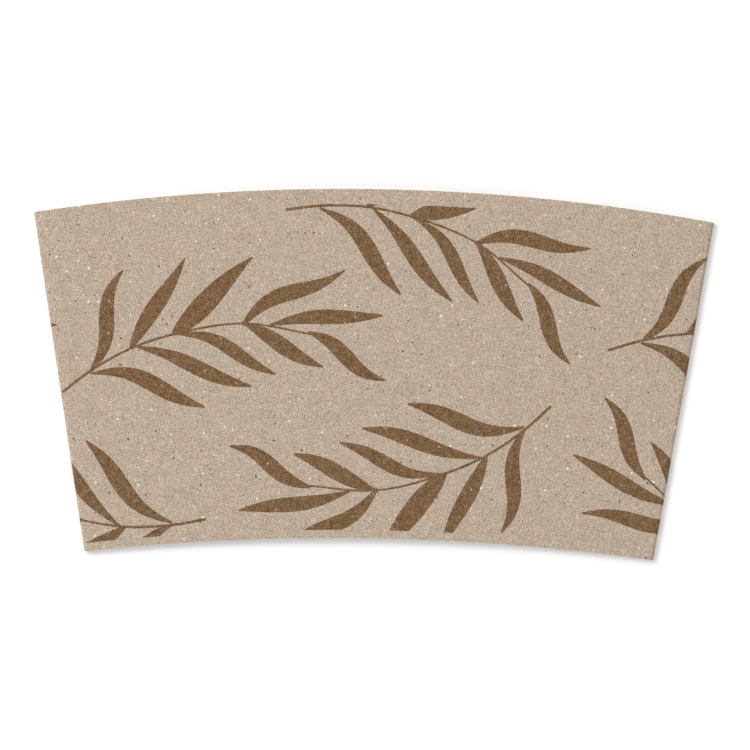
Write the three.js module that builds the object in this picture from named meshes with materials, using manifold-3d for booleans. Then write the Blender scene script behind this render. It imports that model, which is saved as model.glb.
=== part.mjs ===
// A paperboard sleeve for a takeaway coffee cup, folded flat as it leaves the pack.
//
// It is one piece of board. A fan-shaped blank is creased along two straight lines, folded in half
// on them, and glued to itself where its two ends lap on the back. Its shape is a flattened, tapered
// tube that is open at the top and at the bottom. The back lies flat, and the creases hold the front
// up in a low arch. The sleeve is squeezed at its sides to open it round a cup. Leafy sprigs are
// printed on its outer face.
//
// Millimetres. The sleeve lies on its back on z = 0, with its front up. X runs across it, from the
// left fold to the right fold, and Y runs up it, from the bottom edge to the top edge.
import * as THREE from "three";
import { mergeVertices, toCreasedNormals } from "three/addons/utils/BufferGeometryUtils.js";
import Module from "manifold-3d";

const { degToRad, lerp, smoothstep } = THREE.MathUtils;

// Outline of the folded sleeve
const TOP_WIDTH = 127; // straight across, from top corner to top corner
const BOTTOM_WIDTH = 106.2; // straight across, from bottom corner to bottom corner
const SIDE_LENGTH = 64; // along a fold, from its bottom corner to its top corner
const TOP_EDGE_RADIUS = 385; // the die-cut top edge is an arc
const BOTTOM_EDGE_RADIUS = 432; // so is the bottom edge, which is a little flatter

// Board and creases
const BOARD = 0.5; // thickness of the board
const CREASE_RADIUS = 0.25; // inside radius of both folds
const SPRING_ANGLE = degToRad(1.6); // slope of the front where it leaves a crease

// Glued lap, measured along the top edge of the back
const SEAM_FROM_FOLD = 22; // from the right fold to the free edge that shows on the back
const LAP_WIDTH = 12; // the flap's glued width, inside the sleeve
const STEP_UP_WIDTH = 5; // over which the flap's panel climbs on to the other layer

// Print, in brown ink
const INK_THICKNESS = 0.02; // the film stands this far above the bare board
const TOP_MARGIN = 2.8; // bare board below the top edge
const BOTTOM_MARGIN = 1.5; // and above the bottom edge
const STEM_WIDTH = 0.45;
const LEAF_TIP_WIDTH = 0.1; // leaves end a little blunt

// One sprig, from the foot of its stem, with x along the sprig and y to its left. The stem runs
// through these points. Each leaf runs from its foot to its tip. Its middle line bows to the left by
// bow at half way, and sways to the left by sway at a quarter and to the right at three quarters.
// Where lean is under 1, the leaf is widest short of half way.
const STEM = [[0, 0], [4.5, 3.4], [12.3, 7.8], [21.2, 10.7], [33.6, 12.5], [46, 10.5]];
const LEAVES = [
  { foot: [4.7, 3.5], tip: [11.2, 22.9], bow: 0.2, sway: -1.1, width: 2.9, lean: 1 },
  { foot: [12.2, 7.7], tip: [22.7, 25.3], bow: 0, sway: 0.2, width: 3, lean: 0.85 },
  { foot: [20, 10.3], tip: [35.5, 25.3], bow: 0.1, sway: -0.2, width: 3.9, lean: 0.75 },
  { foot: [33.1, 12.1], tip: [52.8, 22.9], bow: 1, sway: 0.9, width: 2.9, lean: 0.9 },
  { foot: [38.3, 12.2], tip: [60, 14.1], bow: 0.6, sway: 0.3, width: 2.8, lean: 1.05 },
  { foot: [4.8, 3.1], tip: [26.8, -3.3], bow: 1.5, sway: 0.8, width: 3.1, lean: 1.1 },
  { foot: [13.9, 8], tip: [35.7, 0.6], bow: -0.2, sway: 0.3, width: 2.9, lean: 1.1 },
  { foot: [20.9, 10.5], tip: [40, 2.8], bow: 1.2, sway: 0.7, width: 2.6, lean: 1.1 },
  { foot: [33, 12.8], tip: [48.7, 4.2], bow: -0.3, sway: 0.3, width: 3, lean: 1 },
  { foot: [45.4, 10.9], tip: [60.5, 1.8], bow: -0.4, sway: 0.8, width: 2.9, lean: 0.95 },
];

// Where the sprigs lie on the front: the foot of the stem, and the turn from X. Some run over a
// fold, and only the parts of them that lie on the front are drawn.
const SPRIGS = [
  { foot: [-57.2, -4.2], turn: 0.8 },
  { foot: [-15.9, 30.2], turn: -29.8 },
  { foot: [44.6, 5], turn: -20.1 },
  { foot: [33.1, -6.2], turn: -174.2 },
  { foot: [-31.1, -28], turn: 153.6 },
  { foot: [96, -33.1], turn: 149.2 },
  { foot: [-117.3, -5.8], turn: 11.4 },
];

// Fineness of the mesh
const STRIP_WIDTH = 4.3; // widest flat strip of a panel, at the top edge
const FOLD_STEPS = 8; // facets round each fold
const STEP_UP_STRIPS = 4; // facets up the lap's slope
const LEAF_STEPS = 6; // straight stretches along each side of a leaf
const STEM_STEPS = 10; // and along each side of a stem
const FINEST_EDGE = 0.001; // shorter edges are left by the cuts, and say nothing
const CREASED_ANGLE = degToRad(40); // facets that meet at less than this are shaded as one surface

// Worked out from the sizes above
const SIDE_SLANT = Math.asin((TOP_WIDTH - BOTTOM_WIDTH) / 2 / SIDE_LENGTH);
const FOLD_RADIUS = CREASE_RADIUS + BOARD;
const sagitta = (radius, chord) => radius - Math.sqrt(radius ** 2 - (chord / 2) ** 2);
const HEIGHT = SIDE_LENGTH * Math.cos(SIDE_SLANT) + sagitta(TOP_EDGE_RADIUS, TOP_WIDTH);
const BOTTOM_CORNER_Y = -HEIGHT / 2;
const BOTTOM_MIDDLE_Y = BOTTOM_CORNER_Y + sagitta(BOTTOM_EDGE_RADIUS, BOTTOM_WIDTH);
const TOP_EDGE = { radius: TOP_EDGE_RADIUS, centreY: HEIGHT / 2 - TOP_EDGE_RADIUS };
const BOTTOM_EDGE = { radius: BOTTOM_EDGE_RADIUS, centreY: BOTTOM_MIDDLE_Y - BOTTOM_EDGE_RADIUS };
const PRINT_FLOOR = 2 * BOARD + 0.02; // just above the lap: below it nothing is printed
const PRISM_DEPTH = 3; // from the print floor to well above the front

// The rulings of the board
//
// A ruling is a straight line on a face of the board, from the bottom edge to the top edge. Seen
// from above it is x = across * halfWidth(y, inset), so across runs from -1 at the left fold to 1 at
// the right fold, and inset is how far inside the folded side the line across = 1 lies. lift(width)
// is its height above the table where halfWidth is width.
function halfWidth(y, inset) {
  const alongSide = (y - BOTTOM_CORNER_Y) * Math.tan(SIDE_SLANT);
  return BOTTOM_WIDTH / 2 + alongSide - inset / Math.cos(SIDE_SLANT);
}

// The point where a ruling meets one of the two die-cut edges.
function pointOnEdge({ across, inset, lift }, { radius, centreY }) {
  const grows = across * Math.tan(SIDE_SLANT);
  const start = across * halfWidth(centreY, inset);
  const a = 1 + grows ** 2;
  const b = grows * start;
  const c = start ** 2 - radius ** 2;
  const y = centreY + (Math.sqrt(b ** 2 - a * c) - b) / a;
  const width = halfWidth(y, inset);
  return new THREE.Vector3(across * width, y, lift(width));
}

// Each place along the board has two rulings, one on its outer face and one on its inner face.
const backRulings = (across, outerLift, innerLift) => ({
  outer: { across, inset: FOLD_RADIUS, lift: () => outerLift },
  inner: { across, inset: FOLD_RADIUS, lift: () => innerLift },
});

// A fold wraps round an axis that lies one fold radius inside the side and above the table.
function foldRulings(side, turn) {
  const ruling = (radius) => ({
    across: side,
    inset: FOLD_RADIUS - radius * Math.cos(turn),
    lift: () => FOLD_RADIUS + radius * Math.sin(turn),
  });
  return { outer: ruling(FOLD_RADIUS), inner: ruling(CREASE_RADIUS) };
}

// The front is part of a cone: its arch rises with the width between the folds.
function frontRulings(across) {
  const arch = (width) => (Math.tan(SPRING_ANGLE) / 2) * width * (1 - across ** 2);
  const ruling = (radius) => ({
    across,
    inset: FOLD_RADIUS - radius * Math.sin(SPRING_ANGLE),
    lift: (width) => FOLD_RADIUS + radius * Math.cos(SPRING_ANGLE) + arch(width),
  });
  return { outer: ruling(FOLD_RADIUS), inner: ruling(CREASE_RADIUS) };
}

// The section of the tube

// Evenly spaced numbers from one end to the other, both ends included.
function spaced(from, to, count) {
  return Array.from({ length: count + 1 }, (_, i) => lerp(from, to, i / count));
}

// As many strips as a stretch of a panel needs.
function strips(from, to) {
  const width = Math.abs(to - from) * (TOP_WIDTH / 2);
  return spaced(from, to, Math.ceil(width / STRIP_WIDTH));
}

// Walked once round the tube from the free edge on the back: over the lap and across the back to
// the left fold, over the front to the right fold, and along the flap's panel back to the lap.
function sectionRulings() {
  const backHalfWidth = pointOnEdge(backRulings(1, 0, 0).outer, TOP_EDGE).x;
  const seam = 1 - SEAM_FROM_FOLD / backHalfWidth;
  const flapEnd = seam - LAP_WIDTH / backHalfWidth;
  const slopeFoot = seam + STEP_UP_WIDTH / backHalfWidth;
  const turns = spaced(-Math.PI / 2, Math.PI / 2 - SPRING_ANGLE, FOLD_STEPS);

  const lap = strips(seam, flapEnd).map((across) => backRulings(across, 0, 2 * BOARD));
  const back = strips(flapEnd, -1).map((across) => backRulings(across, 0, BOARD));
  const leftFold = turns.slice(1, -1).map((turn) => foldRulings(-1, turn));
  const front = strips(-1, 1).map(frontRulings);
  const rightFold = turns.slice(1, -1).reverse().map((turn) => foldRulings(1, turn));
  const flapPanel = strips(1, slopeFoot).map((across) => backRulings(across, 0, BOARD));
  const stepUp = spaced(0, 1, STEP_UP_STRIPS).slice(1).map((share) => {
    const climb = BOARD * smoothstep(share, 0, 1);
    return backRulings(lerp(slopeFoot, seam, share), climb, BOARD + climb);
  });
  return [lap, back, leftFold, front, rightFold, flapPanel, stepUp].flat();
}

// The board as a closed solid: its two faces, and its cut edges at the top and the bottom.
function boardGeometry() {
  const rulings = sectionRulings();
  const ring = (face) => {
    const ends = rulings.map((pair) => ({
      top: pointOnEdge(pair[face], TOP_EDGE),
      bottom: pointOnEdge(pair[face], BOTTOM_EDGE),
    }));
    return ends.filter((here, i) => !here.top.equals(ends.at(i - 1).top));
  };
  const outer = ring("outer");
  const inner = ring("inner");
  const positions = [];
  const addTriangle = (...points) => points.forEach((point) => positions.push(...point));
  const addWall = (ends, facing) => {
    ends.forEach((here, i) => {
      const next = ends[(i + 1) % ends.length];
      const [first, second] = facing === "out" ? [here, next] : [next, here];
      addTriangle(first.top, first.bottom, second.bottom);
      addTriangle(first.top, second.bottom, second.top);
    });
  };
  addWall(outer, "out");
  addWall(inner, "in");

  const flat = (ends) => ends.map(({ top }) => new THREE.Vector2(top.x, top.z));
  const around = [...outer, ...inner];
  THREE.ShapeUtils.triangulateShape(flat(outer), [flat(inner)]).forEach(([i, j, k]) => {
    addTriangle(around[i].top, around[k].top, around[j].top);
    addTriangle(around[i].bottom, around[j].bottom, around[k].bottom);
  });
  const geometry = new THREE.BufferGeometry();
  geometry.setAttribute("position", new THREE.Float32BufferAttribute(positions, 3));
  return geometry;
}

// The print

// A band that is drawn along a plane curve, up its left side and back down its right side.
function ribbonShape(middle, widthAt, steps) {
  const side = (share, sign) => {
    const along = middle.getTangent(share);
    const left = new THREE.Vector2(-along.y, along.x);
    return middle.getPoint(share).addScaledVector(left, (sign * widthAt(share)) / 2);
  };
  const shares = spaced(0, 1, steps);
  const leftSide = shares.map((share) => side(share, 1));
  const rightSide = shares.map((share) => side(share, -1));
  return new THREE.Shape([...leftSide, ...rightSide.reverse()]);
}

function stemShape() {
  const middle = new THREE.SplineCurve(STEM.map(([x, y]) => new THREE.Vector2(x, y)));
  return ribbonShape(middle, () => STEM_WIDTH, STEM_STEPS);
}

function leafShape({ foot, tip, bow, sway, width, lean }) {
  const start = new THREE.Vector2(...foot);
  const along = new THREE.Vector2(...tip).sub(start);
  const left = new THREE.Vector2(-along.y, along.x).normalize();
  const middle = new THREE.Curve();
  middle.getPoint = (share) => {
    const aside = bow * Math.sin(Math.PI * share) + sway * Math.sin(2 * Math.PI * share);
    return start.clone().addScaledVector(along, share).addScaledVector(left, aside);
  };
  const belly = width - LEAF_TIP_WIDTH;
  const widthAt = (share) => LEAF_TIP_WIDTH + belly * Math.sin(Math.PI * share ** lean);
  return ribbonShape(middle, widthAt, LEAF_STEPS);
}

// The part of the front that can be printed, between the two margins.
function printedBandShape() {
  const topRadius = TOP_EDGE.radius - TOP_MARGIN;
  const bottomRadius = BOTTOM_EDGE.radius + BOTTOM_MARGIN;
  const spread = Math.asin(TOP_WIDTH / 2 / topRadius);
  const upright = Math.PI / 2;
  const band = new THREE.Shape();
  band.absarc(0, TOP_EDGE.centreY, topRadius, upright - spread, upright + spread, false);
  band.absarc(0, BOTTOM_EDGE.centreY, bottomRadius, upright + spread, upright - spread, true);
  return band;
}

// An upright prism of a printed shape, which reaches up through the front.
function prism(shape) {
  const settings = { depth: PRISM_DEPTH, bevelEnabled: false };
  return new THREE.ExtrudeGeometry(shape, settings).translate(0, 0, PRINT_FLOOR);
}

const wasm = await Module();
wasm.setup();

// A closed geometry as a solid that can be cut and joined.
function solid(geometry) {
  geometry.deleteAttribute("normal");
  geometry.deleteAttribute("uv");
  const { attributes, index } = mergeVertices(geometry);
  const vertProperties = new Float32Array(attributes.position.array);
  return new wasm.Manifold(
    new wasm.Mesh({ numProp: 3, vertProperties, triVerts: new Uint32Array(index.array) }),
  );
}

// All the sprigs as one solid, cut off at the margins.
function printSolid() {
  const shapes = [stemShape(), ...LEAVES.map(leafShape)];
  const placed = SPRIGS.flatMap(({ foot: [x, y], turn }) =>
    shapes.map((shape) => solid(prism(shape).rotateZ(degToRad(turn)).translate(x, y, 0))),
  );
  const sprigs = placed.reduce((all, one) => all.add(one));
  return sprigs.intersect(solid(prism(printedBandShape())));
}

// The print's film of ink on the board. It is the board itself, lifted by the ink's thickness and cut
// to the printed outlines, so all but its top lies inside the board and follows the front's arch.
function inkSolid(board) {
  return printSolid().intersect(board.translate(0, 0, INK_THICKNESS)).asOriginal();
}

// The board and its ink as one closed surface of loose triangles, coloured by where they come from.
// Cuts that almost meet leave slivers, so corners closer than the finest edge are drawn together.
function printedGeometry(board, ink) {
  const joined = board.add(ink).simplify(FINEST_EDGE);
  const { vertProperties, triVerts, runIndex, runOriginalID } = joined.getMesh();
  const positions = Array.from(triVerts).flatMap((i) => [...vertProperties.subarray(3 * i, 3 * i + 3)]);
  const colors = [];
  runOriginalID.forEach((id, run) => {
    const colour = id === ink.originalID() ? brownInk : bareBoard;
    for (let i = runIndex[run]; i < runIndex[run + 1]; i += 1) {
      colors.push(...colour);
    }
  });
  const geometry = new THREE.BufferGeometry();
  geometry.setAttribute("position", new THREE.Float32BufferAttribute(positions, 3));
  geometry.setAttribute("color", new THREE.Float32BufferAttribute(colors, 3));
  return toCreasedNormals(geometry, CREASED_ANGLE);
}

const bareBoard = new THREE.Color(0xbaaa98);
const brownInk = new THREE.Color(0x7a5f43);
const printedKraftBoard = new THREE.MeshStandardMaterial({
  color: 0xffffff,
  vertexColors: true,
  roughness: 0.95,
  metalness: 0,
});

const board = solid(boardGeometry()).asOriginal();
const sleeve = new THREE.Mesh(printedGeometry(board, inkSolid(board)), printedKraftBoard);
sleeve.name = "sleeve";

const cupSleeve = new THREE.Group();
cupSleeve.add(sleeve);

export default cupSleeve;
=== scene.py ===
# %% [markdown]
# # A paperboard cup sleeve, folded flat
#
# A takeaway cup's sleeve starts as one fan-shaped blank of recycled board. The leaves are printed
# on the flat sheet, the blank is die-cut and creased, and then it is folded on two lines and glued
# where its ends lap. This script builds it in the same order: it draws the blank with its print,
# cuts the sheet into triangles along every printed outline, and then folds the triangles up.
# That keeps the leaves running over the folds as ink does, which a picture laid on from above
# could not. The frame comes first, because everything is measured from it.

# %% The frame
import math

import bpy
import numpy as np
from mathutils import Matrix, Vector
from mathutils.geometry import delaunay_2d_cdt


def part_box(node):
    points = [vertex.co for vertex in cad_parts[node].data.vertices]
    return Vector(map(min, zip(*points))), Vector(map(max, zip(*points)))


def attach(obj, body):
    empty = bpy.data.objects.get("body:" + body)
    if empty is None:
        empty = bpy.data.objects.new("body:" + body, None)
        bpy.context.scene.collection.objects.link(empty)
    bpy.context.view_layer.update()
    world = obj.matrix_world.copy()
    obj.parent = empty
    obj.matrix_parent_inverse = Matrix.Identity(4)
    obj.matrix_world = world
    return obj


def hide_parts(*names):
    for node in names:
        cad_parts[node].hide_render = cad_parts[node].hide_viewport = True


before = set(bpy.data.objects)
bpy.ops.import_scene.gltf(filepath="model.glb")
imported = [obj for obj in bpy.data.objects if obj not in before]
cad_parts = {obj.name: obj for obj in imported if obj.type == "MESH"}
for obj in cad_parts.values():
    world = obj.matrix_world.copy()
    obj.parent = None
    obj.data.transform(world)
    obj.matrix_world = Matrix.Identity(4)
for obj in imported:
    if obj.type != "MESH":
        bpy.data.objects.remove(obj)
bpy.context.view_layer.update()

MM = 0.001
lowest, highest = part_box("sleeve")
WIDTH, HEIGHT, THICKNESS = ((high - low) / MM for low, high in zip(lowest, highest))
print(f"folded sleeve: {WIDTH:.1f} x {HEIGHT:.1f} x {THICKNESS:.2f} mm")

# %% [markdown]
# ## The outline of the folded sleeve
#
# Seen from above, the sleeve has two straight sides, which are its folds, and two die-cut arcs.
# The bottom arc is a little flatter than the top one. Only the proportions are typed here. The
# width and the height come from the frame. Lengths are in millimetres until the mesh is made.

# %% Sides and arcs
BOTTOM_SHARE = 106.2 / 127  # the bottom's width over the top's
TOP_EDGE_RADIUS = 385
BOTTOM_EDGE_RADIUS = 432


def sagitta(radius, chord):
    return radius - math.sqrt(radius**2 - (chord / 2) ** 2)


BOTTOM_WIDTH = WIDTH * BOTTOM_SHARE
BOTTOM_Y = -HEIGHT / 2
SIDE_RISE = HEIGHT - sagitta(TOP_EDGE_RADIUS, WIDTH)
SLANT = math.atan((WIDTH - BOTTOM_WIDTH) / 2 / SIDE_RISE)
TOP_CENTRE = np.array([0, HEIGHT / 2 - TOP_EDGE_RADIUS])
BOTTOM_CENTRE = np.array([0, BOTTOM_Y + sagitta(BOTTOM_EDGE_RADIUS, BOTTOM_WIDTH) - BOTTOM_EDGE_RADIUS])
print(f"each side leans by {math.degrees(SLANT):.1f} degrees")

# %% [markdown]
# ## Folding the sheet
#
# A crease turns the board round a small half circle. So each place on the blank has a simple
# rule: on the front it stays where it is, on the crease it goes round, and beyond the crease it
# comes back underneath, mirrored in the fold. The front springs up a little between the creases,
# because board never folds quite flat, and it springs as a cone does, on straight lines that
# run to one point. I also need the rule backwards, to draw the blank's outline from the folded
# one. Where the blank's two ends meet on the back, one climbs on to the other and is glued.

# %% Sizes of the board and its folds
BOARD = 0.5
FOLD_RADIUS = 0.75
WRAP = math.pi * FOLD_RADIUS  # length of the outer face round a fold
ARCH = THICKNESS - 2 * FOLD_RADIUS  # how far the front springs up at the middle of the top edge
GLUE = 0.02
STEP_UP_WIDTH = 5
TOP_HALF_WIDTH = WIDTH / 2 - FOLD_RADIUS / math.cos(SLANT)
SEAM_INSET = 22  # from the right fold to the edge that shows on the back
LAP = 12
SEAM = 1 - SEAM_INSET / TOP_HALF_WIDTH  # the same place as a share, from 0 in the middle to 1
FLAP_END = SEAM - LAP / TOP_HALF_WIDTH
print(f"the front springs up by {ARCH:.2f} mm")

# %% The folding rule and its inverse
OUTWARD = {side: np.array([side * math.cos(SLANT), -math.sin(SLANT)]) for side in (-1, 1)}
CORNER = {side: np.array([side * BOTTOM_WIDTH / 2, BOTTOM_Y]) for side in (-1, 1)}


def half_width(y):
    """Half the width between the lines where the folds start."""
    return BOTTOM_WIDTH / 2 + (y - BOTTOM_Y) * math.tan(SLANT) - FOLD_RADIUS / math.cos(SLANT)


def past_fold(points, side):
    """How far points lie past the line where a fold starts, outwards."""
    return (points - CORNER[side]) @ OUTWARD[side] + FOLD_RADIUS


def unfold(points, side):
    """Places on the folded back, taken back to the flat blank through one fold."""
    inside = -past_fold(points, side)
    return points + np.outer(2 * inside + WRAP, OUTWARD[side])


def fold(blank):
    """The outer face's points and outward normals for places on the flat blank."""
    count = len(blank)
    place = np.column_stack([blank, np.zeros(count)])
    normal = np.tile([0.0, 0.0, 1.0], (count, 1))
    x, y = blank.T
    width = half_width(y)
    place[:, 2] = 2 * FOLD_RADIUS + ARCH * width / TOP_HALF_WIDTH * (1 - (x / width) ** 2)
    for side in (-1, 1):
        past = past_fold(blank, side)
        start = blank - np.outer(past, OUTWARD[side])
        turn = np.clip(past / FOLD_RADIUS, 0, math.pi)
        under = np.maximum(past - WRAP, 0)
        shift = FOLD_RADIUS * np.sin(turn) - under
        folded = np.column_stack([start + shift[:, None] * OUTWARD[side], FOLD_RADIUS * (1 + np.cos(turn))])
        facing = np.column_stack([np.outer(np.sin(turn), OUTWARD[side]), np.cos(turn)])
        moved = past > 0
        place[moved] = folded[moved]
        normal[moved] = facing[moved]
    # The flap of the right end climbs on to the board of the left end.
    flap = past_fold(blank, 1) > WRAP
    across = place[flap, 0] / half_width(place[flap, 1])
    share = np.clip((SEAM + STEP_UP_WIDTH / TOP_HALF_WIDTH - across) * TOP_HALF_WIDTH / STEP_UP_WIDTH, 0, 1)
    place[flap, 2] += (BOARD + GLUE) * share**2 * (3 - 2 * share)
    return place, normal


# %% [markdown]
# ## The printed sprigs
#
# The print is one ink: the same leafy sprig, turned and scattered over the sheet. Each leaf is a
# lens whose middle line bows and sways, so six sizes draw it. A stem is a thin ribbon
# through a few points. I could have drawn the outlines as curve objects, but I need their
# corners as plain numbers, to cut them into the sheet. Most numbers in the tables of this step
# weren't chosen by hand. A separate fitting program moved drawn leaves until they lay on the
# photographed print as well as they could, and its results were rounded to 0.1. The stem's foot,
# the seventh leaf and the last two sprigs, which lie on the back, were then set without that
# fitting.

# %% One sprig
STEM = [(-0.5, -0.4), (4.5, 3.4), (12.3, 7.8), (21.2, 10.7), (33.6, 12.5), (46, 10.5)]
LEAVES = [  # foot, tip, bow, sway, width and lean
    ((4.7, 3.5), (11.2, 22.9), 0.2, -1.1, 2.9, 1.0),
    ((12.2, 7.7), (22.7, 25.3), 0.0, 0.2, 3.0, 0.85),
    ((20.0, 10.3), (35.5, 25.3), 0.1, -0.2, 3.9, 0.75),
    ((33.1, 12.1), (52.8, 22.9), 1.0, 0.9, 2.9, 0.9),
    ((38.3, 12.2), (60.0, 14.1), 0.6, 0.3, 2.8, 1.05),
    ((4.8, 3.1), (26.8, -3.3), 1.5, 0.8, 3.1, 1.1),
    ((13.0, 8.2), (35.7, 0.6), 0.0, 0.5, 2.9, 1.15),
    ((20.9, 10.5), (40.0, 2.8), 1.2, 0.7, 2.6, 1.1),
    ((33.0, 12.8), (48.7, 4.2), -0.3, 0.3, 3.0, 1.0),
    ((45.4, 10.9), (60.5, 1.8), -0.4, 0.8, 2.9, 0.95),
]
STEM_FOOT_WIDTH, STEM_END_WIDTH = 0.55, 0.36
LEAF_FOOT_WIDTH = 0.4  # where a leaf leaves its stem
BLUNT_END = 0.968  # the share of its length at which a leaf ends, short of its point
LEAF_STEPS = 20
STEM_STEPS = 5  # from one of the stem's points to the next


def ribbon(middle, width):
    """The outline of a band of varying width along a line of points."""
    along = np.gradient(middle, axis=0)
    along /= np.linalg.norm(along, axis=1)[:, None]
    left = np.column_stack([-along[:, 1], along[:, 0]]) * (width / 2)[:, None]
    return np.vstack([middle + left, (middle - left)[::-1]])


def leaf_outline(foot, tip, bow, sway, width, lean):
    share = np.linspace(0, BLUNT_END, LEAF_STEPS + 1)
    foot, along = np.array(foot), np.subtract(tip, foot)
    left = np.array([-along[1], along[0]]) / np.hypot(*along)
    aside = bow * np.sin(np.pi * share) + sway * np.sin(2 * np.pi * share)
    middle = foot + np.outer(share, along) + np.outer(aside, left)
    belly = (width - LEAF_FOOT_WIDTH / 2) * np.sin(np.pi * share**lean)
    return ribbon(middle, LEAF_FOOT_WIDTH * (1 - share) + belly)


def stem_outline():
    """A smooth line through the stem's points, which thins from its foot to its end."""
    points = np.array(STEM)
    run = np.concatenate([[0], np.cumsum(np.linalg.norm(np.diff(points, axis=0), axis=1))])
    slope = np.gradient(points, run, axis=0)
    middle = []
    for i in range(len(points) - 1):
        length = run[i + 1] - run[i]
        for t in np.linspace(0, 1, STEM_STEPS + 1)[:-1]:
            middle.append(
                (1 + 2 * t) * (1 - t) ** 2 * points[i]
                + t * (1 - t) ** 2 * length * slope[i]
                + t**2 * (3 - 2 * t) * points[i + 1]
                - t**2 * (1 - t) * length * slope[i + 1]
            )
    middle = np.array(middle + [points[-1]])
    return ribbon(middle, np.linspace(STEM_FOOT_WIDTH, STEM_END_WIDTH, len(middle)))


sprig = [stem_outline()] + [leaf_outline(*leaf) for leaf in LEAVES]
print(f"one sprig has {sum(len(outline) for outline in sprig)} corners")

# %% The sprigs on the sheet
SPRIGS = [  # the foot of the stem on the blank, and the turn from the front's width, in degrees
    (-57.2, -4.2, 0.8),
    (-15.9, 30.2, -29.8),
    (44.6, 5.0, -20.1),
    (33.1, -6.2, -174.2),
    (-31.1, -28.0, 153.6),
    (96.0, -33.1, 149.2),
    (-117.3, -5.8, 11.4),
    (-167.0, -41.0, 19.7),
    (-81.0, -14.0, -155.3),
]


def laid(outline, x, y, turn):
    c, s = math.cos(math.radians(turn)), math.sin(math.radians(turn))
    return outline @ np.array([[c, s], [-s, c]]) + (x, y)


outlines = [laid(outline, *spot) for spot in SPRIGS for outline in sprig]
print(f"{len(outlines)} printed shapes on the sheet")

# %% [markdown]
# ## The blank
#
# The blank's outline is drawn from the folded sleeve: the arcs of the front, a short straight
# stretch round each fold, and the arcs of the back, unfolded. Lines are also laid in the sheet
# where it bends, so that the triangles have edges there. A triangulation that keeps given
# lines does the cutting: it takes the outline, the bends and the leaves, and gives triangles
# that cross none of them.

# %% Lines of the blank
STRIP = 4.0
FOLD_STEPS = 12
TOP_MARGIN, BOTTOM_MARGIN = 2.8, 1.5
ROUNDS = 20  # each round brings a point nearer to its arc


def on_arc(across, centre, radius):
    """Where lines of equal share of the width meet an arc."""
    points = np.zeros((len(across), 2))
    for _ in range(ROUNDS):
        points[:, 1] = centre[1] + np.sqrt(radius**2 - (points[:, 0] - centre[0]) ** 2)
        points[:, 0] = across * half_width(points[:, 1])
    return points


def strips(start, end):
    return np.linspace(start, end, math.ceil(abs(end - start) * TOP_HALF_WIDTH / STRIP) + 1)


def line_of_blank(centre, radius):
    """One arc followed over the whole blank, from its left end to its right end."""
    front = on_arc(strips(-1, 1), centre, radius)
    left_back = unfold(on_arc(strips(SEAM, -1), centre, radius), -1)
    right_back = unfold(on_arc(strips(1, FLAP_END), centre, radius), 1)
    round_fold = np.linspace(0, WRAP, FOLD_STEPS + 1)[1:-1]
    left_fold = front[0] + np.outer(round_fold[::-1], OUTWARD[-1])
    right_fold = front[-1] + np.outer(round_fold, OUTWARD[1])
    return np.vstack([left_back, left_fold, front, right_fold, right_back])


top_line = line_of_blank(TOP_CENTRE, TOP_EDGE_RADIUS)
bottom_line = line_of_blank(BOTTOM_CENTRE, BOTTOM_EDGE_RADIUS)
top_margin = line_of_blank(TOP_CENTRE, TOP_EDGE_RADIUS - TOP_MARGIN)[1:-1]
bottom_margin = line_of_blank(BOTTOM_CENTRE, BOTTOM_EDGE_RADIUS + BOTTOM_MARGIN)[1:-1]
print(f"the blank is {np.ptp(top_line[:, 0]):.0f} mm wide, with {len(top_line)} straight bends in it")

# %% Cutting the sheet into triangles
SAME_PLACE = 1e-4  # corners that lie closer than this become one
corners = []
lines = []


def lay(points, closed=False):
    """Adds a line of points to the sheet."""
    first = len(corners)
    corners.extend(Vector(point) for point in points)
    lines.extend((first + i, first + i + 1) for i in range(len(points) - 1))
    if closed:
        lines.append((first + len(points) - 1, first))


lay(np.vstack([top_line, bottom_line[::-1]]), closed=True)
for top, bottom in zip(top_line, bottom_line):
    lay([top, bottom])
lay(top_margin)
lay(bottom_margin)
for outline in outlines:
    lay(outline, closed=True)
cut = delaunay_2d_cdt(corners, lines, [], 0, SAME_PLACE)
sheet = np.array([tuple(point) for point in cut[0]])
triangles = np.array(cut[2])
print(f"{len(sheet)} corners and {len(triangles)} triangles before trimming")


# %% [markdown]
# ## What is board, and what is ink
#
# Each triangle lies wholly inside or outside every outline, so its middle tells which. The ink
# stops at a bare margin along both die-cut edges.

# %% Sorting the triangles
def inside(points, outline):
    """True for the points that lie inside a closed outline."""
    x, y = points.T
    found = np.zeros(len(points), bool)
    for (x1, y1), (x2, y2) in zip(outline, np.roll(outline, -1, axis=0)):
        if y1 == y2:
            continue
        crosses = ((y1 > y) != (y2 > y)) & (x < (x2 - x1) * (y - y1) / (y2 - y1) + x1)
        found ^= crosses
    return found


middles = sheet[triangles].mean(axis=1)
kept = inside(middles, np.vstack([top_line, bottom_line[::-1]]))
triangles, middles = triangles[kept], middles[kept]
inked = np.zeros(len(triangles), bool)
for outline in outlines:
    low, high = outline.min(axis=0), outline.max(axis=0)
    near = np.flatnonzero(((middles > low) & (middles < high)).all(axis=1))
    inked[near] |= inside(middles[near], outline)
inked &= inside(middles, np.vstack([top_margin, bottom_margin[::-1]]))
used, triangles = np.unique(triangles, return_inverse=True)
sheet, triangles = sheet[used], triangles.reshape(-1, 3)
print(f"{len(triangles)} triangles kept, {inked.sum()} of them inked")

# %% [markdown]
# ## Folding it up
#
# The outer face is the folded sheet. The inner face is the same sheet, one board's thickness
# further in, and the cut edges join the two. One mesh holds all of it, since it is one piece of
# board. The inked faces get the second material.

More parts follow.
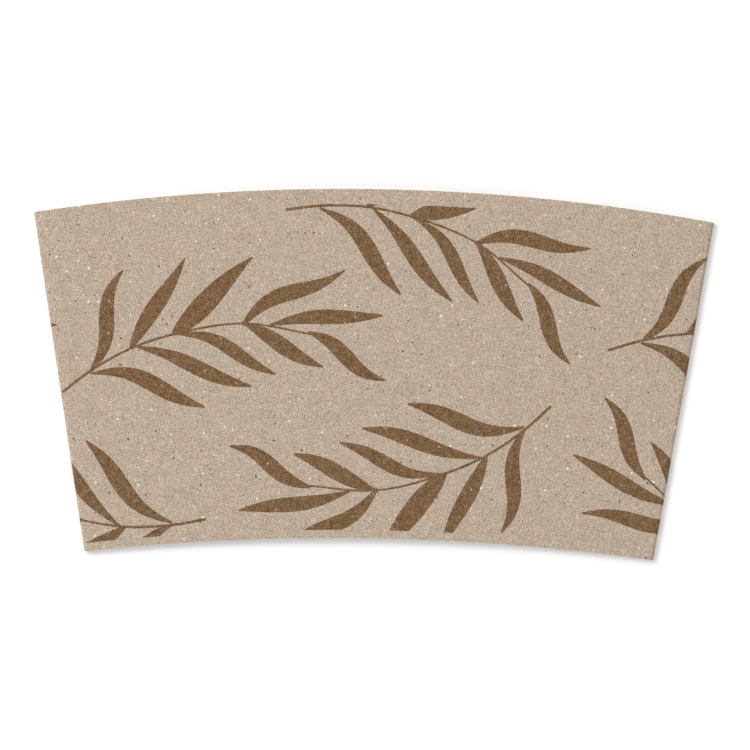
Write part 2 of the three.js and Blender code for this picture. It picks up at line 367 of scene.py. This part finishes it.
# %% The sleeve's mesh
CREASED_ANGLE = math.radians(40)  # faces that meet at less than this are shaded as one surface
outer, normals = fold(sheet)
inner = outer - BOARD * normals
edges = np.vstack([triangles[:, [0, 1]], triangles[:, [1, 2]], triangles[:, [2, 0]]])
directed = {tuple(edge) for edge in edges.tolist()}
rim = [(a, b) for a, b in directed if (b, a) not in directed]
rim.sort()
count = len(sheet)
faces = triangles.tolist()
faces += [[a + count, c + count, b + count] for a, b, c in triangles.tolist()]
faces += [[b, a, a + count, b + count] for a, b in rim]
mesh = bpy.data.meshes.new("cup_sleeve")
mesh.from_pydata((np.vstack([outer, inner]) * MM).tolist(), [], faces)
mesh.polygons.foreach_set("material_index", inked.astype(int).tolist() + [0] * (len(faces) - len(inked)))
mesh.polygons.foreach_set("use_smooth", [True] * len(faces))
mesh.set_sharp_from_angle(angle=CREASED_ANGLE)
mesh.update()
sleeve = bpy.data.objects.new("cup_sleeve", mesh)
bpy.context.scene.collection.objects.link(sleeve)
print(f"the mesh has {len(faces)} faces, {len(rim)} of them on the cut edges")

# %% [markdown]
# ## Recycled board
#
# The sheet is solid grey-brown board, pressed from pulped waste paper and left uncoated. What
# the eye gets from that is a matt face, a fine salt-and-pepper grain of pressed fibres, a few
# longer light and dark fibres lying every way, pale flecks of white paper, and dark
# flecks of old print. All of it is in the pulp, so the same recipe serves the face, the cut
# edge and, under the ink, the print. Patterns are set in millimetres on the object's own
# coordinates. Grain finer than the picture can hold is drawn at about 0.24 mm.

# %% Helpers for materials
def linear(hex_colour):
    """An sRGB hex colour as linear red, green, blue and alpha."""
    parts = [int(hex_colour[i : i + 2], 16) / 255 for i in (1, 3, 5)]
    return [p / 12.92 if p <= 0.04045 else ((p + 0.055) / 1.055) ** 2.4 for p in parts] + [1.0]


def add(tree, kind, links=(), **settings):
    """Adds a node. Settings name its properties, or its sockets by number as in_0; links are sockets in."""
    node = tree.nodes.new(kind)
    for name, value in settings.items():
        if name.startswith("in_"):
            node.inputs[int(name[3:])].default_value = value
        else:
            setattr(node, name, value)
    for socket, source in dict(links).items():
        tree.links.new(source, node.inputs[socket])
    return node


# %% The pulp's grain
CLOUD_ROUGHNESS = 0.6
NOISE_LOW, NOISE_HIGH = 0.3, 0.7  # nearly all values of a noise lie between these
GRAIN_SIZE = 0.24
SMALL_MOTTLE = {"size": 0.8, "low": 0.94, "high": 1.06, "seed": 12}
LARGE_MOTTLE = {"size": 2.8, "low": 0.95, "high": 1.05, "seed": 40}


def in_millimetres(tree):
    """The object's own coordinates, in millimetres."""
    place = add(tree, "ShaderNodeTexCoord").outputs["Object"]
    scaled = add(tree, "ShaderNodeVectorMath", {0: place}, operation="SCALE")
    scaled.inputs["Scale"].default_value = 1 / MM
    return scaled.outputs[0]


def flat_noise(tree, place, scale, detail, roughness=0.5):
    """A noise across X and Y."""
    noise = add(tree, "ShaderNodeTexNoise", {0: place}, noise_dimensions="2D")
    noise.inputs["Scale"].default_value = scale
    noise.inputs["Detail"].default_value = detail
    noise.inputs["Roughness"].default_value = roughness
    return noise


def cloud(tree, mm, size, low, high, detail=3.0, seed=0.0):
    """A soft noise of that grain size in millimetres, spread from about low to about high."""
    moved = add(tree, "ShaderNodeVectorMath", {0: mm}, operation="ADD")
    moved.inputs[1].default_value = (seed, -seed, 0)
    noise = flat_noise(tree, moved.outputs[0], 1 / size, detail, CLOUD_ROUGHNESS)
    ends = {"in_1": NOISE_LOW, "in_2": NOISE_HIGH, "in_3": low, "in_4": high}
    return add(tree, "ShaderNodeMapRange", {0: noise.outputs[0]}, clamp=False, **ends).outputs[0]


def times(tree, one, other):
    return add(tree, "ShaderNodeMath", {0: one, 1: other}, operation="MULTIPLY").outputs[0]


def board_grain(tree, mm, depth):
    """The brightness of the pressed fibres, about 1 on average: fine grain of that depth, and mottle."""
    fine = cloud(tree, mm, GRAIN_SIZE, 1 - depth, 1 + depth)
    mottle = times(tree, cloud(tree, mm, **SMALL_MOTTLE), cloud(tree, mm, **LARGE_MOTTLE))
    return times(tree, fine, mottle)


# %% [markdown]
# Flecks are dots in the cells of a Voronoi pattern, with only some of the cells used. Fibres are a
# noise that is drawn out along one way and bent a little, with only its crests kept. Both are
# flat patterns across X and Y, because the sheet is flat: solid ones would miss most of it.

# %% Flecks and fibres
RAGGED_SCALE, RAGGED_REACH = 5.0, 0.3  # a fleck's edge is ragged, and not round
SMALLEST_FLECK = 0.4  # its radius over the largest one's
BEND_SCALE, BEND_REACH = 0.7, 1.2
CREST_EDGE = 0.05  # how softly a fibre's edge fades


def warped(tree, mm, noise, reach):
    """Places moved by a noise's colour, up to that many millimetres."""
    links = {0: noise.outputs["Color"], 2: mm}
    moved = add(tree, "ShaderNodeVectorMath", links, operation="MULTIPLY_ADD")
    moved.inputs[1].default_value = (reach, reach, 0)
    return moved.outputs[0]


def flecks(tree, mm, spacing, radius, share, seed):
    """Dots up to that radius, in millimetres, in that share of cells of that spacing."""
    ragged = warped(tree, mm, flat_noise(tree, mm, RAGGED_SCALE, detail=2.0), RAGGED_REACH)
    moved = add(tree, "ShaderNodeVectorMath", {0: ragged}, operation="ADD")
    moved.inputs[1].default_value = (seed, seed, 0)
    cells = add(tree, "ShaderNodeTexVoronoi", {0: moved.outputs[0]}, voronoi_dimensions="2D")
    cells.inputs["Scale"].default_value = 1 / spacing
    random = add(tree, "ShaderNodeSeparateColor", {0: cells.outputs["Color"]})
    ends = {"in_3": SMALLEST_FLECK * radius / spacing, "in_4": radius / spacing}
    size = add(tree, "ShaderNodeMapRange", {0: random.outputs[1]}, **ends)
    links = {0: cells.outputs["Distance"], 1: size.outputs[0]}
    dot = add(tree, "ShaderNodeMath", links, operation="LESS_THAN")
    chosen = add(tree, "ShaderNodeMath", {0: random.outputs[0]}, operation="LESS_THAN", in_1=share)
    return times(tree, dot.outputs[0], chosen.outputs[0])


def fibres(tree, mm, turn, length, width, crest):
    """Short fibres that lie about one way, turned by that many degrees."""
    curled = warped(tree, mm, flat_noise(tree, mm, BEND_SCALE, detail=1.0), BEND_REACH)
    turned = add(tree, "ShaderNodeMapping", {0: curled}, vector_type="TEXTURE")
    turned.inputs["Rotation"].default_value = (0, 0, math.radians(turn))
    turned.inputs["Scale"].default_value = (length, width, 1)
    streaks = flat_noise(tree, turned.outputs[0], 1.0, detail=0.0)
    ends = {"in_1": crest, "in_2": crest + CREST_EDGE}
    return add(tree, "ShaderNodeMapRange", {0: streaks.outputs[0]}, **ends).outputs[0]


# %% [markdown]
# ## The material
#
# One recipe makes both materials. The body colour is bare board or ink, the grain runs over all
# of it, and fibres and flecks show fully on the board and faintly through the ink. A rubbed,
# uncoated board scatters light every way, so it is rough, with no gloss to speak of.

# %% Board and ink from one recipe
BARE_BOARD = "#BFAA97"
WHITE_PAPER = "#F1ECE4"
GREY_PULP = "#857563"
OLD_PRINT = "#3F352C"
PINKISH, GREENISH = "#C0A895", "#B2AB96"
GRAIN_SATURATION = 0.75  # the grain's light and dark are a little greyer than the body colour
TINTS = [(PINKISH, 2.2, 17), (GREENISH, 2.9, 71)]  # colour, size of its patches and seed
FIBRE_TURNS = (15, 62, 108, 151)
DARK_TURN = 25  # the dark fibres lie this much further round than the light ones
LIGHT_FIBRES = {"length": 1.1, "width": 0.10, "crest": 0.79}
DARK_FIBRES = {"length": 0.7, "width": 0.11, "crest": 0.77}
LIGHT_STRENGTH, DARK_STRENGTH = 0.5, 0.75
FLECKS = [  # spacing, largest radius, share of the cells, seed, strength and colour
    (1.0, 0.12, 0.22, 5.3, 0.7, GREY_PULP),
    (1.1, 0.12, 0.16, 11.9, 0.6, WHITE_PAPER),
    (2.0, 0.21, 0.09, 3.1, 1.0, WHITE_PAPER),
    (1.7, 0.17, 0.09, 7.7, 1.0, OLD_PRINT),
]
ROUGHNESS, SPECULAR_LEVEL = 0.92, 0.15
BUMP_STRENGTH, BUMP_DEPTH = 0.25, 0.02 * MM
COVER_SIZE = 1.1  # of the patches in which the body colour lies thicker or thinner


def laid_over(tree, share, strength, under, over):
    """Lays a colour over another where share is 1, at that strength."""
    weak = add(tree, "ShaderNodeMath", {0: share}, operation="MULTIPLY", in_1=strength).outputs[0]
    mix = add(tree, "ShaderNodeMix", {0: weak, 6: under}, data_type="RGBA")
    mix.inputs[7].default_value = linear(over)
    return mix.outputs[2]


def pulp_colour(tree, mm, body, grain, showing):
    """The body colour with its grain, and the fibres and flecks as far as they show."""
    greyed = add(tree, "ShaderNodeHueSaturation", {"Color": body}).outputs[0]
    greyed.node.inputs["Saturation"].default_value = GRAIN_SATURATION
    above = add(tree, "ShaderNodeMath", {0: grain}, operation="SUBTRACT", in_1=1.0).outputs[0]
    grained = add(tree, "ShaderNodeVectorMath", {0: greyed, 1: above, 2: body}, operation="MULTIPLY_ADD")
    colour = add(tree, "ShaderNodeVectorMath", {0: grained.outputs[0]}, operation="MAXIMUM").outputs[0]
    for turn in FIBRE_TURNS:
        light = fibres(tree, mm, turn, **LIGHT_FIBRES)
        colour = laid_over(tree, light, LIGHT_STRENGTH * showing, colour, WHITE_PAPER)
        dark = fibres(tree, mm, turn + DARK_TURN, **DARK_FIBRES)
        colour = laid_over(tree, dark, DARK_STRENGTH * showing, colour, GREY_PULP)
    for spacing, radius, share, seed, strength, paint in FLECKS:
        spots = flecks(tree, mm, spacing, radius, share, seed)
        colour = laid_over(tree, spots, strength * showing, colour, paint)
    return colour


def matt_board(name, body_colour, tint_strength, showing, depth, density):
    """A rough, uncoated material. density is how unevenly the body colour lies, from low to high."""
    material = bpy.data.materials.new(name)
    material.use_nodes = True
    tree = material.node_tree
    shader = tree.nodes["Principled BSDF"]
    shader.inputs["Roughness"].default_value = ROUGHNESS
    shader.inputs["Specular IOR Level"].default_value = SPECULAR_LEVEL
    mm = in_millimetres(tree)
    body = add(tree, "ShaderNodeRGB").outputs[0]
    body.default_value = linear(body_colour)
    for tint, size, seed in TINTS:
        patches = cloud(tree, mm, size, 0, 1, detail=1.0, seed=seed)
        body = laid_over(tree, patches, tint_strength, body, tint)
    grain = board_grain(tree, mm, depth)
    grain = times(tree, grain, cloud(tree, mm, COVER_SIZE, *density, detail=2.0, seed=23))
    tree.links.new(pulp_colour(tree, mm, body, grain, showing), shader.inputs["Base Color"])
    bump = add(tree, "ShaderNodeBump", {"Height": grain})
    bump.inputs["Strength"].default_value = BUMP_STRENGTH
    bump.inputs["Distance"].default_value = BUMP_DEPTH
    tree.links.new(bump.outputs[0], shader.inputs["Normal"])
    print(f"{name}: {len(tree.nodes)} nodes")
    return material


recycled_board = matt_board(
    "recycled_board_pressed", BARE_BOARD, tint_strength=0.35, showing=1.0, depth=0.37, density=(0.985, 1.015)
)
mesh.materials.append(recycled_board)

# %% [markdown]
# ## Brown ink
#
# The leaves are a thin, water-based brown ink, pressed on by a rubber plate. It stains the
# fibres and does not fill them, so the board's grain goes on through it, as do the pale flecks.

# %% The ink's material
BROWN_INK = "#785A3B"
board_inked = matt_board(
    "flexo_ink_on_board", BROWN_INK, tint_strength=0.0, showing=0.35, depth=0.62, density=(0.8, 1.2)
)
mesh.materials.append(board_inked)
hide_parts("sleeve")
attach(sleeve, "root")

# %% [markdown]
# ## Table, light and camera
#
# The sleeve lies on a white sheet in even, soft studio light. The main light is wide and comes
# from the upper left, so only the right and the bottom edge throw a narrow soft shadow.

# %% The white sheet
PAPER_WHITE = 0.9
PAPER_LIFT = 0.17  # light added to the sheet where it is seen, so that it comes out white
FLOOR_SIZE = 4  # in metres
FLOOR_DROP = 0.02  # the sheet lies this far under the sleeve, so that their faces never share a place


def seen(tree):
    """1 for rays that show in the picture, straight, mirrored or through something clear, or else 0."""
    ray = add(tree, "ShaderNodeLightPath")
    found = ray.outputs["Is Camera Ray"]
    for kind in ("Is Glossy Ray", "Is Transmission Ray"):
        found = add(tree, "ShaderNodeMath", {0: found, 1: ray.outputs[kind]}, operation="MAXIMUM").outputs[0]
    return found


def white_sheet():
    material = bpy.data.materials.new("white_paper_sweep")
    material.use_nodes = True
    tree = material.node_tree
    paper = tree.nodes["Principled BSDF"]
    paper.inputs["Base Color"].default_value = (PAPER_WHITE, PAPER_WHITE, PAPER_WHITE, 1)
    paper.inputs["Roughness"].default_value = 1.0
    paper.inputs["Specular IOR Level"].default_value = 0.0
    glow = add(tree, "ShaderNodeEmission")
    lift = add(tree, "ShaderNodeMath", {0: seen(tree)}, operation="MULTIPLY", in_1=PAPER_LIFT)
    tree.links.new(lift.outputs[0], glow.inputs["Strength"])
    both = add(tree, "ShaderNodeAddShader", {0: paper.outputs[0], 1: glow.outputs[0]})
    tree.links.new(both.outputs[0], tree.nodes["Material Output"].inputs["Surface"])
    return material


bpy.ops.mesh.primitive_plane_add(size=FLOOR_SIZE, location=(0, 0, -FLOOR_DROP * MM))
floor = bpy.context.active_object
floor.name = "floor"
floor.data.materials.append(white_sheet())

# %% Lights
SKY = 0.62  # how strongly the studio's walls light the sleeve; they are seen as plain white
world = bpy.data.worlds.new("studio") if bpy.context.scene.world is None else bpy.context.scene.world
bpy.context.scene.world = world
world.use_nodes = True
studio = world.node_tree
walls = studio.nodes["Background"]
walls.inputs["Color"].default_value = (1, 1, 1, 1)
shown = add(studio, "ShaderNodeMath", {0: seen(studio)}, operation="MULTIPLY_ADD", in_1=1 - SKY, in_2=SKY)
studio.links.new(shown.outputs[0], walls.inputs["Strength"])


def area_light(name, place, size, power):
    lamp = bpy.data.lights.new(name, "AREA")
    lamp.size = size
    lamp.energy = power
    holder = bpy.data.objects.new(name, lamp)
    holder.location = place
    holder.rotation_euler = (-Vector(place)).to_track_quat("-Z", "Y").to_euler()
    bpy.context.scene.collection.objects.link(holder)
    return holder


area_light("key_softbox", place=(-1.25, 0.75, 1.6), size=1.0, power=26)

# %% Camera
PICTURE_WIDTH = 140.0  # millimetres of the table that the picture is wide
ROLL = math.radians(0.9)
AIM = Vector((0.63, -0.47, 1.5)) * MM
DISTANCE = 1.5
camera_data = bpy.data.cameras.new("camera")
camera_data.sensor_width = 36
camera_data.lens = camera_data.sensor_width * DISTANCE / (PICTURE_WIDTH * MM)
camera_data.clip_end = 10
camera = bpy.data.objects.new("camera", camera_data)
camera.location = AIM + Vector((0, 0, DISTANCE))
camera.rotation_euler = (0, 0, ROLL)
bpy.context.scene.collection.objects.link(camera)
bpy.context.scene.camera = camera
bpy.context.scene.view_settings.view_transform = "Standard"
print(f"a {camera_data.lens:.0f} mm lens from {DISTANCE} m above")
